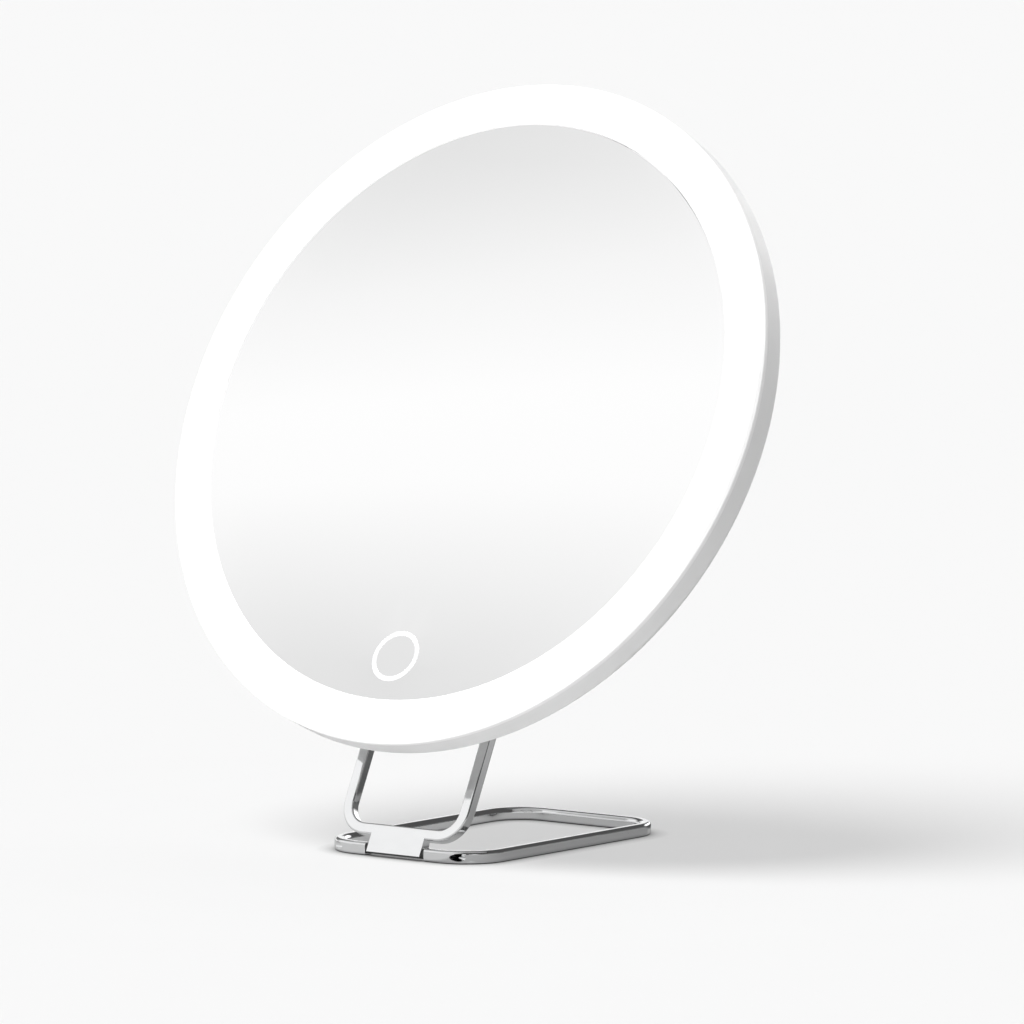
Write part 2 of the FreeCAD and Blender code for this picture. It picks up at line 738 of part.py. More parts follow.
def make_screw(name, at, seat, head_diameter_, head_height, shank_diameter, shank_length, up):
    """A pan-head screw with a cross recess; its shank runs from the seat towards up."""
    x, y = at
    if up:
        head_at = (x, y, seat - head_height)
        shank_at = (x, y, seat)
        slot_base = seat - head_height
    else:
        head_at = (x, y, seat)
        shank_at = (x, y, seat - shank_length)
        slot_base = seat + head_height - head_height * recess_depth_share
    head = rod(name + "_head", half(head_diameter_), head_height, head_at)
    shank = rod(name + "_shank", half(shank_diameter), shank_length, shank_at)
    whole = fuse(name + "_whole", [head, shank])
    span = head_diameter_ * recess_length_share
    depth = head_height * recess_depth_share
    first = block(
        name + "_slot",
        (span, recess_width, depth),
        (x - half(span), y - half(recess_width), slot_base),
    )
    second = block(
        name + "_cross",
        (recess_width, span, depth),
        (x - half(recess_width), y - half(span), slot_base),
    )
    return cut(name, whole, fuse(name + "_recess", [first, second]))


screws = []
for side, sign in (("right", 1), ("left", -1)):
    screws.append(
        make_screw(
            "leaf_screw_" + side,
            (half(leaf_screw_pitch) * sign, hinge_y),
            leaf_screw_head_height - pod_depth,
            leaf_screw_head,
            leaf_screw_head_height,
            leaf_screw_diameter,
            leaf_screw_length,
            True,
        )
    )
finish_node(group("leaf_screws", screws), "leaf_screws", HEAD)

# Rear cover: rim, floor and pod in one turned shell.
cover = new_body("rear_cover")
sketch = new_sketch(cover, "cover_profile", "XZ_Plane")
draw_loop(
    sketch,
    [
        (rim_inner, -diffuser_thickness),
        (rim_inner, -rim_floor),
        (pod_foot - cover_wall, -rim_floor),
        (pod_back - cover_wall, -pod_floor),
        (NOUGHT, -pod_floor),
        (NOUGHT, -pod_depth),
        (pod_back, -pod_depth),
        (pod_foot, -rim_depth),
        (head_radius, -rim_depth),
        (head_radius, -diffuser_thickness),
    ],
)
shell = add_turn(cover, sketch)
r_rim = head_radius.value
r_pod = pod_back.value
z_rim = -rim_depth.value
z_pod = -pod_depth.value
rounded = add_fillet(cover, shell, lambda e: ring_at(e, r_rim, z_rim), rim_round)
add_fillet(cover, rounded, lambda e: ring_at(e, r_pod, z_pod), pod_round)

# Block behind the leaf's plate, then the recess that the plate lies in.
leaf_block = flange_thickness + leaf_screw_length + leaf_screw_head_height
sketch = new_sketch(cover, "cover_block", "XY_Plane", half(cover_wall) - pod_depth)
draw_round_rectangle(
    sketch,
    -half(flange_width) - cover_wall,
    half(flange_width) + cover_wall,
    hinge_y - half(flange_height) - cover_wall,
    hinge_y + half(flange_height) + cover_wall,
    flange_corner,
)
add_pad(cover, sketch, leaf_block - half(cover_wall))
sketch = new_sketch(cover, "cover_recess", "XY_Plane", flange_thickness - pod_depth)
draw_round_rectangle(
    sketch,
    -half(flange_width) - flange_play,
    half(flange_width) + flange_play,
    hinge_y - half(flange_height) - flange_play,
    hinge_y + half(flange_height) + flange_play,
    flange_corner + flange_play,
)
add_pocket(cover, sketch, flange_thickness + overrun)
leaf_screw_tip = leaf_screw_head_height + leaf_screw_length - pod_depth
for side, sign in (("right", 1), ("left", -1)):
    sketch = new_sketch(cover, "cover_leaf_hole_" + side, "XY_Plane", leaf_screw_tip + screw_gap)
    draw_circle(
        sketch,
        (half(leaf_screw_pitch) * sign, hinge_y),
        half(leaf_screw_diameter) + screw_gap,
    )
    add_pocket(cover, sketch, leaf_screw_length + overrun)

# Posts for the control board.
posts = []
board_left = pod_foot - board_inset
board_right = board_width - board_left
for column, post_x in (("left", post_inset - board_left), ("right", board_right - post_inset)):
    for row, sign in (("high", 1), ("low", -1)):
        post_y = (half(board_height) - post_inset) * sign
        posts.append((column + "_" + row, (post_x, post_y)))
board_back = board_lift - pod_floor
for label, at in posts:
    sketch = new_sketch(cover, "post_" + label, "XY_Plane", -pod_floor - half(cover_wall))
    draw_circle(sketch, at, half(post_diameter))
    add_pad(cover, sketch, board_lift + half(cover_wall))
for label, at in posts:
    sketch = new_sketch(cover, "post_hole_" + label, "XY_Plane", board_back)
    draw_circle(sketch, at, half(post_screw_diameter) + screw_gap)
    add_pocket(cover, sketch, post_screw_length + screw_gap)

# Opening for the charging socket in the pod's side.
socket_high = board_back
socket_middle = socket_high - half(socket_height)
sketch = new_sketch(cover, "socket_opening", "YZ_Plane", half(cover_wall) - board_left)
opening_half = half(socket_height) + socket_gap
draw_round_rectangle(
    sketch,
    -half(socket_width) - socket_gap,
    half(socket_width) + socket_gap,
    socket_middle - opening_half,
    socket_middle + opening_half,
    half(socket_height),
)
add_pocket(cover, sketch, pod_foot - board_left + overrun + cover_wall)

# Bosses for the cover's screws, with their recesses at the back.
screw_orbit = glass_radius - cover_screw_inset
boss_top = boss_rise - rim_floor
sketch = new_sketch(cover, "cover_boss", "XY_Plane", -rim_floor - half(cover_wall))
draw_circle(sketch, (screw_orbit, NOUGHT), half(boss_diameter))
boss = add_pad(cover, sketch, boss_rise + half(cover_wall))
add_ring(cover, boss, cover_screw_count, "cover_bosses")
sketch = new_sketch(cover, "cover_sink", "XY_Plane", cover_screw_sink - rim_depth)
draw_circle(sketch, (screw_orbit, NOUGHT), half(cover_screw_head) + screw_gap)
sink = add_pocket(cover, sketch, cover_screw_sink + overrun)
add_ring(cover, sink, cover_screw_count, "cover_sinks")
sketch = new_sketch(cover, "cover_hole", "XY_Plane", boss_top + overrun)
draw_circle(sketch, (screw_orbit, NOUGHT), half(cover_screw_diameter) + screw_gap)
hole = add_pocket(cover, sketch, rim_depth + overrun)
add_ring(cover, hole, cover_screw_count, "cover_holes")
finish_node(cover, "rear_cover", HEAD)

# Light diffuser: an opal ring with a lip that locates it in the rim.
diffuser = new_body("light_diffuser")
sketch = new_sketch(diffuser, "diffuser_profile", "XZ_Plane")
lip_outer = rim_inner - fit_gap
lip_back = diffuser_thickness + diffuser_lip_depth
draw_loop(
    sketch,
    [
        (ring_inner, NOUGHT),
        (ring_inner, -diffuser_thickness),
        (lip_outer - diffuser_lip, -diffuser_thickness),
        (lip_outer - diffuser_lip, -lip_back),
        (lip_outer, -lip_back),
        (lip_outer, -diffuser_thickness),
        (head_radius, -diffuser_thickness),
        (head_radius, -diffuser_round),
        (head_radius - diffuser_round, NOUGHT),
    ],
    {7: (diffuser_round, (head_radius - diffuser_round, -diffuser_round))},
)
add_turn(diffuser, sketch)
finish_node(diffuser, "light_diffuser", HEAD)

# Mirror glass: a shell between two spheres about one centre in front of the mirror.
glass_curve = half(glass_radius * glass_radius / glass_dish + glass_dish)
curve_centre = glass_curve - glass_dish - glass_recess


def sphere_level(radius, out):
    """Height of a sphere about the glass's centre of curve, at a distance from the axis."""
    if out is NOUGHT:
        return curve_centre - radius
    return curve_centre - root(radius * radius - out * out)


def spherical_ring(body, name, inner, outer, front, back):
    """Turn the space between two spheres and two cylinders."""
    outline = new_sketch(body, name, "XZ_Plane")
    centre = (NOUGHT, curve_centre)
    points = [
        (inner, sphere_level(front, inner)),
        (outer, sphere_level(front, outer)),
        (outer, sphere_level(back, outer)),
        (inner, sphere_level(back, inner)),
    ]
    draw_loop(outline, points, {0: (front, centre), 2: (back, centre)})
    return add_turn(body, outline)


def ball(name, radius):
    """A sphere about the glass's centre of curve, with its poles above and below."""
    thing = doc.addObject("Part::Sphere", name)
    bind(thing, Radius=radius)
    thing.Placement = FreeCAD.Placement(Vector(), FreeCAD.Rotation(Vector(1, 0, 0), 90))
    settle(thing, (NOUGHT, NOUGHT, curve_centre))
    return thing


# The poles of both spheres lie far outside the glass, so its face runs smooth through the middle.
glass_back = glass_curve + glass_thickness
glass_low = curve_centre - glass_back
disc = rod("glass_disc", glass_radius, -glass_low, (NOUGHT, NOUGHT, glass_low))
bulge = doc.addObject("Part::Common", "glass_bulge")
bulge.Base = disc
bulge.Tool = ball("glass_back_ball", glass_back)
blank = cut("glass_blank", bulge, ball("glass_front_ball", glass_curve))

# The touch ring is made on the axis and swung down round the same centre.
touch_outer = half(touch_diameter)
touch_inner = touch_outer - touch_line
touch_drop = glass_radius - touch_inset
touch_swing = arcsine(touch_drop / glass_curve)


def swing_down(thing):
    """Swing a piece made on the axis down to the touch ring's place on the glass."""
    drop = -(curve_centre * sine(touch_swing))
    lift = curve_centre - curve_centre * cosine(touch_swing)
    spin = FreeCAD.Rotation(Vector(-1, 0, 0), touch_swing.value)
    thing.Placement = FreeCAD.Placement(Vector(0, drop.value, lift.value), spin)
    thing.setExpression("Placement.Base.y", drop.text)
    thing.setExpression("Placement.Base.z", lift.text)
    thing.setExpression("Placement.Rotation.Angle", touch_swing.text + " * 1 deg")
    return thing


groove = new_body("touch_groove")
spherical_ring(
    groove,
    "groove_profile",
    touch_inner - touch_fit,
    touch_outer + touch_fit,
    glass_curve - overrun,
    glass_curve + touch_depth + touch_fit,
)
swing_down(groove)
glass = cut("mirror_glass", blank, groove)
finish_node(glass, "mirror_glass", HEAD)

line_body = new_body("touch_ring_body")
spherical_ring(
    line_body,
    "touch_ring_profile",
    touch_inner,
    touch_outer,
    glass_curve,
    glass_curve + touch_depth,
)
swing_down(line_body)
finish_node(group("touch_ring", [line_body]), "touch_ring", HEAD)

# Behind the glass: light guide, touch board and its chips, made on the axis too.
guide_front = sphere_level(glass_back, NOUGHT)
guide_low = guide_front - guide_height
guide_outer = rod(
    "guide_outer", touch_outer + guide_overlap, guide_height, (NOUGHT, NOUGHT, guide_low)
)
guide_hole = rod(
    "guide_hole",
    touch_inner - guide_overlap,
    guide_height + overrun * 2,
    (NOUGHT, NOUGHT, guide_low - overrun),
)
guide_ring = cut("guide_ring", guide_outer, guide_hole)
swing_down(guide_ring)
finish_node(group("touch_light_guide", [guide_ring]), "touch_light_guide", HEAD)

touch_board_low = guide_low - touch_board_thickness
touch_disc = rod(
    "touch_disc",
    half(touch_board_diameter),
    touch_board_thickness,
    (NOUGHT, NOUGHT, touch_board_low),
)
swung = swing_down(group("touch_board_swung", [touch_disc]))
finish_node(group("touch_board", [swung]), "touch_board", HEAD)

chips = []
for number in range(touch_chip_count):
    turn = as_dim(360 * number / touch_chip_count)
    chip_x = touch_chip_orbit * cosine(turn) - half(touch_chip_size)
    chip_y = touch_chip_orbit * sine(turn) - half(touch_chip_size)
    spans = (touch_chip_size, touch_chip_size, touch_chip_height)
    chips.append(block("touch_chip_%d" % number, spans, (chip_x, chip_y, guide_low)))
swung = swing_down(group("touch_chips_swung", chips))
finish_node(group("touch_chips", [swung]), "touch_chips", HEAD)

# Adhesive ring, and the carrier whose ledge follows the glass's back.
seat = glass_back + tape_thickness
tape_outer = glass_radius - fit_gap
tape = new_body("mirror_tape")
spherical_ring(tape, "tape_profile", tape_outer - tape_width, tape_outer, glass_back, seat)
finish_node(tape, "mirror_tape", HEAD)

carrier = new_body("mirror_carrier")
ledge_inner = glass_radius - carrier_ledge
wall_inner = ring_inner + carrier_lap
wall_outer = wall_inner + carrier_wall
ledge_back = sphere_level(seat, ledge_inner) - carrier_floor
sketch = new_sketch(carrier, "carrier_profile", "XZ_Plane")
draw_loop(
    sketch,
    [
        (ledge_inner, sphere_level(seat, ledge_inner)),
        (ring_inner, sphere_level(seat, ring_inner)),
        (ring_inner, -diffuser_thickness),
        (wall_outer, -diffuser_thickness),
        (wall_outer, -rim_floor),
        (wall_inner, -rim_floor),
        (wall_inner, ledge_back),
        (ledge_inner, ledge_back),
    ],
    {0: (seat, (NOUGHT, curve_centre))},
)
add_turn(carrier, sketch)
boss_inner = screw_orbit - half(boss_diameter)
boss_high = sphere_level(seat, boss_inner)
sketch = new_sketch(carrier, "carrier_boss", "XY_Plane", boss_top)
draw_circle(sketch, (screw_orbit, NOUGHT), half(boss_diameter))
boss = add_pad(carrier, sketch, boss_high - boss_top)
add_ring(carrier, boss, cover_screw_count, "carrier_bosses")
screw_seat = cover_screw_sink - rim_depth
screw_tip = screw_seat + cover_screw_length
sketch = new_sketch(carrier, "carrier_hole", "XY_Plane", screw_tip + screw_gap)
draw_circle(sketch, (screw_orbit, NOUGHT), half(cover_screw_diameter) + screw_gap)
hole = add_pocket(carrier, sketch, cover_screw_length + overrun)
add_ring(carrier, hole, cover_screw_count, "carrier_holes")
sketch = new_sketch(carrier, "carrier_notch", "YZ_Plane", -ledge_inner)
light_board_front = light_board_thickness - rim_floor
draw_rectangle(
    sketch,
    lead_height - half(lead_notch_width),
    lead_height + half(lead_notch_width),
    -rim_floor - overrun,
    light_board_front + lead_diameter * 1.5,
)
add_pocket(carrier, sketch, wall_outer - ledge_inner + overrun)
finish_node(carrier, "mirror_carrier", HEAD)

screws = []
for number in range(cover_screw_count):
    turn = as_dim(360 * number / cover_screw_count)
    screws.append(
        make_screw(
            "cover_screw_%d" % number,
            (screw_orbit * cosine(turn), screw_orbit * sine(turn)),
            screw_seat,
            cover_screw_head,
            cover_screw_head_height,
            cover_screw_diameter,
            cover_screw_length,
            True,
        )
    )
finish_node(group("cover_screws", screws), "cover_screws", HEAD)

# Ring board on the cover's floor, with its light chips.
board_inner = wall_outer + board_gap
board_outer = rim_inner - board_gap
outer_disc = rod(
    "light_board_outer", board_outer, light_board_thickness, (NOUGHT, NOUGHT, -rim_floor)
)
inner_disc = rod(
    "light_board_inner",
    board_inner,
    light_board_thickness + overrun * 2,
    (NOUGHT, NOUGHT, -rim_floor - overrun),
)
finish_node(cut("light_board", outer_disc, inner_disc), "light_board", HEAD)

chips = []
chip_orbit = half(board_inner + board_outer)
for number in range(chip_count):
    degrees = 360 * number / chip_count
    turn = as_dim(degrees)
    near = chip_orbit - half(chip_width)
    corner_x = near * cosine(turn) + half(chip_length) * sine(turn)
    corner_y = near * sine(turn) - half(chip_length) * cosine(turn)
    chip = doc.addObject("Part::Box", "light_chip_%d" % number)
    bind(chip, Length=chip_width, Width=chip_length, Height=chip_height)
    chip.Placement = FreeCAD.Placement(Vector(), FreeCAD.Rotation(Vector(0, 0, 1), degrees))
    settle(chip, (corner_x, corner_y, light_board_front))
    chips.append(chip)
finish_node(group("light_chips", chips), "light_chips", HEAD)

# Control board on its posts, with its screws and parts.
board = new_body("control_board")
sketch = new_sketch(board, "board_outline", "XY_Plane", board_back)
draw_rectangle(sketch, -board_left, board_right, -half(board_height), half(board_height))
for label, at in posts:
    draw_circle(sketch, at, half(post_screw_diameter) + screw_gap)
add_pad(board, sketch, board_thickness)
finish_node(board, "control_board", HEAD)
board_front = board_back + board_thickness

screws = []
for label, at in posts:
    screws.append(
        make_screw(
            "board_screw_" + label,
            at,
            board_front,
            post_screw_head,
            post_screw_head_height,
            post_screw_diameter,
            board_thickness + post_screw_length,
            False,
        )
    )
finish_node(group("board_screws", screws), "board_screws", HEAD)


def board_block(name, across_share, up_share, side, height):
    """A square part on the control board's front, placed by shares of the board."""
    middle_x = board_width * across_share - board_left
    middle_y = board_height * up_share
    at = (middle_x - half(side), middle_y - half(side), board_front)
    return block(name, (side, side, height), at)


controller_place_shares = (0.58, 0.1)
charger_place_shares = (0.28, -0.22)
coil_place_shares = (0.52, -0.24)
parts = [
    board_block("controller", *controller_place_shares, controller_size, controller_height),
    board_block("charger", *charger_place_shares, charger_size, charger_height),
    board_block("coil", *coil_place_shares, coil_size, coil_height),
]
finish_node(group("board_chips", parts), "board_chips", HEAD)

plug = block(
    "plug_block",
    (plug_length, plug_width, plug_height),
    (board_right - plug_length, -half(plug_width), board_front),
)
finish_node(group("battery_plug", [plug]), "battery_plug", HEAD)

# Charging socket under the board's left edge: a shell open to the left, and its tongue.
socket_mouth = -board_left - socket_overhang
shell_body = new_body("socket_shell")
sketch = new_sketch(shell_body, "shell_outline", "YZ_Plane", socket_mouth)
shell_round = half(socket_height) * shell_round_share
draw_round_rectangle(
    sketch,
    -half(socket_width),
    half(socket_width),
    socket_middle - half(socket_height),
    socket_middle + half(socket_height),
    shell_round,
)
add_pad(shell_body, sketch, socket_length)
sketch = new_sketch(shell_body, "shell_inside", "YZ_Plane", socket_mouth + socket_length - socket_wall)
draw_round_rectangle(
    sketch,
    socket_wall - half(socket_width),
    half(socket_width) - socket_wall,
    socket_middle - half(socket_height) + socket_wall,
    socket_middle + half(socket_height) - socket_wall,
    shell_round - socket_wall,
)
add_pocket(shell_body, sketch, socket_length + overrun)
finish_node(shell_body, "socket_shell", HEAD)
tongue = block(
    "tongue",
    (socket_length - socket_wall - tongue_set, tongue_width, tongue_height),
    (socket_mouth + tongue_set, -half(tongue_width), socket_middle - half(tongue_height)),
)
finish_node(group("socket_tongue", [tongue]), "socket_tongue", HEAD)

# Battery beside the board, taped to the pod's floor.
battery_left = board_right + battery_gap
battery_right = pod_foot * battery_reach_share
battery_width = battery_right - battery_left
battery_low = battery_tape - pod_floor
battery = new_body("battery_cell")
sketch = new_sketch(battery, "battery_outline", "XY_Plane", battery_low)
draw_round_rectangle(
    sketch,
    battery_left,
    battery_right,
    -half(battery_height),
    half(battery_height),
    battery_corner,
)
add_pad(battery, sketch, battery_depth)
finish_node(battery, "battery_cell", HEAD)
tape_block = block(
    "battery_tape_block",
    (battery_width - battery_tape_inset * 2, battery_height - battery_tape_inset * 2, battery_tape),
    (battery_left + battery_tape_inset, battery_tape_inset - half(battery_height), -pod_floor),
)
finish_node(group("battery_tape", [tape_block]), "battery_tape", HEAD)


# Leads: pairs of wires along straight runs joined by tangent arcs.


def bend_path(points):
    """Edges of a path through the points, each corner eased by the largest arc that suits it."""
    edges = []
    start = points[0]
    for before, corner, after in zip(points, points[1:], points[2:]):
        back = before - corner
        ahead = after - corner
        shorter = min(back.Length, ahead.Length)
        turn = math.pi - back.getAngle(ahead)
        ease = bend_ease_share * shorter
        radius = ease / math.tan(turn / 2)
        bend_radii.append(round(radius, 2))
        back.normalize()
        ahead.normalize()
        enter = corner + back * ease
        leave = corner + ahead * ease
        inward = back + ahead
        inward.normalize()
        middle = corner + inward * (radius / math.cos(turn / 2) - radius)
        edges.append(Part.LineSegment(start, enter).toShape())
        edges.append(Part.Arc(enter, middle, leave).toShape())
        start = leave
    edges.append(Part.LineSegment(start, points[-1]).toShape())
    return Part.Wire(edges)


def make_lead(name, route, offset):
    """Two wires along a route, set apart by the lead's pitch along the offset direction."""
    wires = []
    for sign in (1, -1):
        shift = offset * (half(lead_pitch).value * sign)
        points = [Vector(x.value, y.value, z.value) + shift for x, y, z in route]
        path = bend_path(points)
        ring = Part.Circle(points[0], points[1] - points[0], half(lead_diameter).value)
        section = Part.Wire([ring.toShape()])
        wire = path.makePipeShell([section], True, False)
        whole = math.pi * half(lead_diameter).value ** 2 * path.Length
        if abs(wire.Volume / whole - 1) > 0.01:
            problems.append("%s has the wrong volume" % name)
        wires.append(wire)
    thing = doc.addObject("Part::Feature", name)
    thing.Shape = Part.makeCompound(wires)
    finish_node(thing, name, HEAD)


bend_ease_share = 0.45
bend_radii = []
lead_radius = half(lead_diameter)
plug_middle = board_front + half(plug_height)
battery_middle = battery_low + half(battery_depth)
step_x = half(board_right + battery_left)
make_lead(
    "battery_leads",
    [
        (battery_left, NOUGHT, battery_middle),
        (step_x, NOUGHT, battery_middle),
        (step_x, NOUGHT, plug_middle),
        (board_right, NOUGHT, plug_middle),
    ],
    Vector(0, 1, 0),
)
light_lead_z = light_board_front + lead_radius
board_lead_z = board_front + lead_radius
make_lead(
    "light_leads",
    [
        (-board_inner - lead_diameter * 2, lead_height, light_lead_z),
        (cover_wall - pod_foot - lead_diameter, lead_height, light_lead_z),
        (-board_left - lead_diameter, lead_height, board_lead_z),
        (lead_diameter * 4 - board_left, lead_height, board_lead_z),
    ],
    Vector(0, 1, 0),
)
touch_back_z = curve_centre - (curve_centre - touch_board_low) * cosine(touch_swing)
touch_lead_x = board_right - board_width * touch_lead_share
make_lead(
    "touch_leads",
    [
        (NOUGHT, lead_diameter - touch_drop, touch_back_z - lead_diameter * 0.72),
        (NOUGHT, half(touch_board_diameter) + lead_diameter * 5 - touch_drop, board_lead_z + lead_radius),
        (touch_lead_x, -half(board_height) - lead_diameter * 6, board_lead_z),
        (touch_lead_x, lead_diameter * 4 - half(board_height), board_lead_z),
    ],
    Vector(1, 0, 0),
)
print("lead bend radii", bend_radii)

# Look for faults, then write every piece.
doc.recompute()
for thing in doc.Objects:
    if "Invalid" in thing.State or "Error" in thing.State:
        problems.append("%s is %s" % (thing.Name, thing.State))
for node in nodes:
    if node.Shape.isNull() or not node.Shape.isValid() or not node.Shape.Solids:
        problems.append("%s has no sound shape" % node.Label)
if problems:
    raise RuntimeError("; ".join(problems))
os.makedirs("parts", exist_ok=True)
for node in nodes:
    node.Shape.exportStep("parts/%s.step" % node.Label)
    print(node.Label, len(node.Shape.Solids), round(node.Shape.Volume, 1))
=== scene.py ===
# %% [markdown]
# # A lighted magnifying mirror on a folding chrome stand
#
# The solids come from the CAD frame and already have the right shape and place. This lesson
# gives each of them a finish that is built from nodes, sets up a plain studio round the
# mirror, and puts the camera where the photograph was taken from.

# %% Load the frame
import math

import bpy
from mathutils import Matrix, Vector

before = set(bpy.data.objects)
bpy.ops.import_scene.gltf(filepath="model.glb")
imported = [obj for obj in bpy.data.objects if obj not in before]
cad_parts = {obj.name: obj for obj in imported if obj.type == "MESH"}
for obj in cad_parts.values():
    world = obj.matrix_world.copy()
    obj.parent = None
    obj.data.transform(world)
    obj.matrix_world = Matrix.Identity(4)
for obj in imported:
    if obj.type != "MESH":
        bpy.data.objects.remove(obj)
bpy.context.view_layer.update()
bpy.context.scene.view_settings.view_transform = "Standard"
bpy.ops.object.select_all(action="DESELECT")
print("pieces in the frame:", len(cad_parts))

# %% [markdown]
# ## Camera
#
# The mirror was seen from a little above and from its right-hand side, through a long lens.
# A long lens far away keeps the round head from swelling towards the camera, so the camera
# stands two metres off and the lens is chosen to fill the frame.

# %% Camera
CAMERA_AZIMUTH = math.radians(37.78)
CAMERA_ELEVATION = math.radians(5.26)
CAMERA_DISTANCE = 2.0
CAMERA_LENS = 282.31
FRAME_MIDDLE = Vector((0, 0.00912, 0.09012))
FRAME_LEFT = 0.00107
FRAME_DOWN = 0.00846

to_camera = Vector((
    math.sin(CAMERA_AZIMUTH) * math.cos(CAMERA_ELEVATION),
    -math.cos(CAMERA_AZIMUTH) * math.cos(CAMERA_ELEVATION),
    math.sin(CAMERA_ELEVATION),
))
to_right = Vector((math.cos(CAMERA_AZIMUTH), math.sin(CAMERA_AZIMUTH), 0))
to_top = to_camera.cross(to_right)
bpy.ops.object.camera_add(location=FRAME_MIDDLE + to_camera * CAMERA_DISTANCE)
camera = bpy.context.object
camera.data.lens = CAMERA_LENS
aim = FRAME_MIDDLE - to_right * FRAME_LEFT - to_top * FRAME_DOWN
camera.rotation_euler = (aim - camera.location).to_track_quat("-Z", "Y").to_euler()
bpy.context.scene.camera = camera
print("camera at", [round(x, 3) for x in camera.location])

# %% [markdown]
# ## Small helpers for node trees
#
# Every finish below is a few nodes feeding one Principled shader. These helpers add a node
# with its values, join sockets, do sums, and mix colours. A shader node group is a recipe that
# several finishes can share with values of their own.

# %% Helpers
ACROSS, AHEAD, BEHIND, UP = (1, 0, 0), (0, -1, 0), (0, 1, 0), (0, 0, 1)


def add(tree, kind, **values):
    """A node of a kind, with its sockets' values; a name's underscore stands for a space."""
    made = tree.nodes.new("ShaderNode" + kind)
    for name, value in values.items():
        made.inputs[name.replace("_", " ")].default_value = value
    return made


def join(tree, *pairs):
    """Link pairs of an output and an input."""
    for out, into in pairs:
        tree.links.new(out, into)


def feed(tree, socket, term):
    """Give an input a plain value, or the output of another node."""
    if isinstance(term, bpy.types.NodeSocket):
        tree.links.new(term, socket)
    else:
        socket.default_value = term


def calculate(tree, kind, operation, *terms):
    """A Math or VectorMath node; each term is a value or a socket."""
    made = add(tree, kind)
    made.operation = operation
    for socket, term in zip(made.inputs, terms):
        feed(tree, socket, term)
    return made


def math_node(tree, operation, *terms):
    return calculate(tree, "Math", operation, *terms).outputs["Value"]


def vector_node(tree, operation, *terms):
    return calculate(tree, "VectorMath", operation, *terms).outputs["Vector"]


def along(tree, way, axis):
    """How far a point or direction lies along an axis."""
    return calculate(tree, "VectorMath", "DOT_PRODUCT", way, axis).outputs["Value"]


def rise(tree, level, span):
    """Rise smoothly from 0 to 1 while a level passes through a span."""
    made = add(tree, "MapRange", From_Min=span[0], From_Max=span[1])
    made.interpolation_type = "SMOOTHSTEP"
    join(tree, (level, made.inputs["Value"]))
    return made.outputs["Result"]


def grey(level):
    return (level, level, level, 1)


def mix_colour(tree, share, first, second):
    """A colour from a first to a second one by a share; each is a colour or a socket."""
    made = add(tree, "Mix")
    made.data_type = "RGBA"
    feed(tree, made.inputs["Factor"], share)
    feed(tree, made.inputs[6], first)
    feed(tree, made.inputs[7], second)
    return made.outputs[2]


def new_group(name, numbers, output):
    """A shader node group that takes a vector and numbers, and its two ends."""
    tree = bpy.data.node_groups.new(name, "ShaderNodeTree")
    tree.interface.new_socket("Vector", in_out="INPUT", socket_type="NodeSocketVector")
    for number in numbers:
        tree.interface.new_socket(number, in_out="INPUT", socket_type="NodeSocketFloat")
    tree.interface.new_socket(output, in_out="OUTPUT", socket_type="NodeSocketFloat")
    return tree, tree.nodes.new("NodeGroupInput"), tree.nodes.new("NodeGroupOutput")


def use_group(tree, group, place, **values):
    """The output of a shared group at a place, with values of its own."""
    made = add(tree, "Group")
    made.node_tree = group
    for name, value in values.items():
        made.inputs[name].default_value = value
    join(tree, (place, made.inputs["Vector"]))
    return made.outputs[0]


print("helpers ready")

# %% [markdown]
# ## Shared effects
#
# No real surface has one roughness all over. `slow_drift` lets a value wander between two
# limits, as handling and polishing leave it. `moulded_skin` is the fine grain that a mould's
# spark-eroded wall leaves on plastic. `turned_lines` are the rings that a lathe leaves on pins
# and screws, and `board_tracks` are the copper lines under a circuit board's lacquer.

# %% Shared node groups
slow_drift, ends, out = new_group("slow_drift", ["Scale", "Low", "High"], "Value")
cloud = add(slow_drift, "TexNoise", Detail=3.0, Roughness=0.55)
spread = add(slow_drift, "MapRange", From_Min=0.3, From_Max=0.7)
join(
    slow_drift,
    (ends.outputs["Vector"], cloud.inputs["Vector"]),
    (ends.outputs["Scale"], cloud.inputs["Scale"]),
    (cloud.outputs["Fac"], spread.inputs["Value"]),
    (ends.outputs["Low"], spread.inputs["To Min"]),
    (ends.outputs["High"], spread.inputs["To Max"]),
    (spread.outputs["Result"], out.inputs["Value"]),
)

moulded_skin, ends, out = new_group("moulded_skin", ["Scale"], "Height")
pits = add(moulded_skin, "TexVoronoi", Randomness=1.0)
pits.feature = "SMOOTH_F1"
haze = add(moulded_skin, "TexNoise", Detail=2.0)
grain = math_node(moulded_skin, "ADD", pits.outputs["Distance"], haze.outputs["Fac"])
join(
    moulded_skin,
    (ends.outputs["Vector"], pits.inputs["Vector"]),
    (ends.outputs["Scale"], pits.inputs["Scale"]),
    (ends.outputs["Vector"], haze.inputs["Vector"]),
    (ends.outputs["Scale"], haze.inputs["Scale"]),
    (grain, out.inputs["Height"]),
)

turned_lines, ends, out = new_group("turned_lines", ["Scale"], "Height")
grooves = add(turned_lines, "TexWave", Distortion=1.5, Detail=2.0, Detail_Scale=2.0)
grooves.wave_type = "BANDS"
grooves.bands_direction = "X"
join(
    turned_lines,
    (ends.outputs["Vector"], grooves.inputs["Vector"]),
    (ends.outputs["Scale"], grooves.inputs["Scale"]),
    (grooves.outputs["Fac"], out.inputs["Height"]),
)

